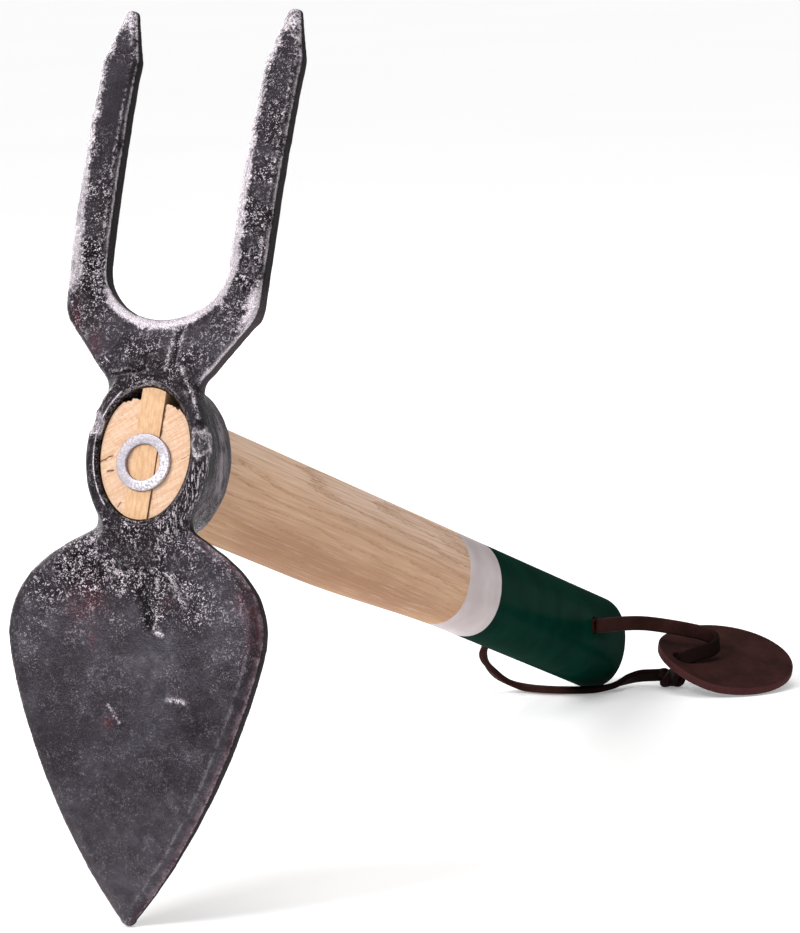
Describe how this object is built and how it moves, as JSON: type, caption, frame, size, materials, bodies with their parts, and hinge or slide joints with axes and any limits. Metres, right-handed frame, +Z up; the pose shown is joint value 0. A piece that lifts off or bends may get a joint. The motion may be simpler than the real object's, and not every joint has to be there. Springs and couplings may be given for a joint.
{
  "type": "hand double hoe",
  "caption": "Hand double hoe: forged head with a tined fork above and a heart-shaped blade below its oval eye, wedged on a short ash handle with a leather lace and a round tag.",
  "frame": {"origin": "on the floor, under the middle of the box round head and handle", "axes": "+X to the right across the head, +Y from the head to the butt of the handle, +Z up, with the fork up and the blade down"},
  "size_m": [0.0998, 0.3871, 0.2319],
  "materials": {
    "forged_steel": "forged carbon steel under clear black lacquer, with hammer scale and bright ground bevels",
    "ash_wood": "oiled ash, with a white and a dark green painted band at the butt end",
    "wedge_wood": "raw sawn hardwood",
    "ring_steel": "matt grey steel",
    "leather": "dark red-brown leather, smooth side out"
  },
  "bodies": {
    "root": {"forged_head": "forged_steel", "handle": "ash_wood", "wooden_wedge": "wedge_wood", "ring_wedge": "ring_steel", "lace_in_bore": "leather", "lace_upper": "leather", "lace_lower": "leather", "lace_knot": "leather", "leather_tag": "leather"}
  },
  "joints": []
}
